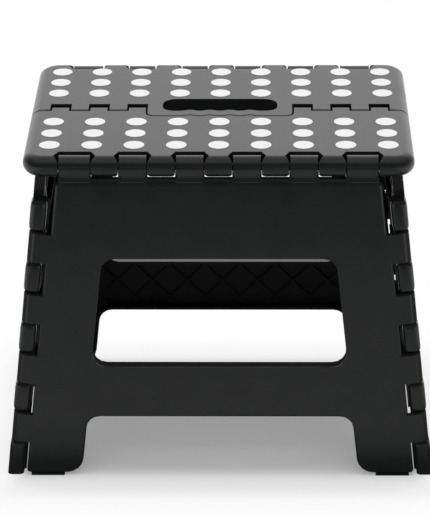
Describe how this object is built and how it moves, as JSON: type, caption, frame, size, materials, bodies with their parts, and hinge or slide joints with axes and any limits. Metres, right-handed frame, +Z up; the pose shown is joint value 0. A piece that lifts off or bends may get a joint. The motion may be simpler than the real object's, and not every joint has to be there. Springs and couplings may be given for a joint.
{
  "type": "step stool",
  "caption": "Folding step stool: ribbed plastic tread in two hinged halves with a grip slot, two window legs and folding side panels.",
  "frame": {"origin": "on the floor, under the middle of the tread", "axes": "+X along the tread to the user's right, +Y away from the front leg, +Z up"},
  "size_m": [0.3342, 0.211, 0.2683],
  "materials": {
    "black_plastic": "semi-matte moulded black with a fine grain",
    "steel": "steel rod with a dark oxide finish",
    "rubber": "matte black rubber",
    "white_plastic": "matte white soft plastic of the anti-slip dots"
  },
  "bodies": {
    "rear_leg": {"leg_rear": "black_plastic", "foot_left_rear": "rubber", "foot_right_rear": "rubber", "pin_top_rear": "steel", "pin_corner_left_rear": "steel", "pin_corner_right_rear": "steel"},
    "rear_tread": {"top_rear": "black_plastic", "pin_centre_left": "steel", "pin_centre_right": "steel"},
    "front_tread": {"top_front": "black_plastic"},
    "front_leg": {"leg_front": "black_plastic", "foot_left_front": "rubber", "foot_right_front": "rubber", "pin_top_front": "steel", "pin_corner_left_front": "steel", "pin_corner_right_front": "steel"},
    "right_front_side": {"side_right_front": "black_plastic"},
    "right_rear_side": {"side_right_rear": "black_plastic", "pin_side_right": "steel"},
    "left_front_side": {"side_left_front": "black_plastic"},
    "left_rear_side": {"side_left_rear": "black_plastic", "pin_side_left": "steel"}
  },
  "joints": [
    {"name": "fold", "type": "hinge", "parent": "rear_leg", "child": "rear_tread", "pos_m": [0, 0.0971, 0.2596], "axis": [-1, 0, 0], "range_deg": [0, 85.5]},
    {"name": "tread_centre", "type": "hinge", "parent": "rear_tread", "child": "front_tread", "pos_m": [0, 0, 0.2561], "axis": [1, 0, 0], "range_deg": [0, 171]},
    {"name": "front_leg_hinge", "type": "hinge", "parent": "front_tread", "child": "front_leg", "pos_m": [0, -0.0971, 0.2596], "axis": [-1, 0, 0], "range_deg": [0, 85.5]},
    {"name": "right_front_corner", "type": "hinge", "parent": "front_leg", "child": "right_front_side", "pos_m": [0.13117, -0.0971, 0.268], "axis": [-0.1097, 0, 0.994], "range_deg": [0, 85.5]},
    {"name": "left_front_corner", "type": "hinge", "parent": "front_leg", "child": "left_front_side", "pos_m": [-0.13117, -0.0971, 0.268], "axis": [-0.1097, 0, -0.994], "range_deg": [0, 85.5]},
    {"name": "right_rear_corner", "type": "hinge", "parent": "rear_leg", "child": "right_rear_side", "pos_m": [0.13117, 0.0971, 0.268], "axis": [0.1097, 0, -0.994], "range_deg": [0, 85.5]},
    {"name": "left_rear_corner", "type": "hinge", "parent": "rear_leg", "child": "left_rear_side", "pos_m": [-0.13117, 0.0971, 0.268], "axis": [0.1097, 0, 0.994], "range_deg": [0, 85.5]}
  ],
  "couplings": [
    {"joint": "tread_centre", "follows": "fold", "ratio": 2},
    {"joint": "front_leg_hinge", "follows": "fold", "ratio": 1},
    {"joint": "right_front_corner", "follows": "fold", "ratio": 1},
    {"joint": "left_front_corner", "follows": "fold", "ratio": 1},
    {"joint": "right_rear_corner", "follows": "fold", "ratio": 1},
    {"joint": "left_rear_corner", "follows": "fold", "ratio": 1}
  ]
}
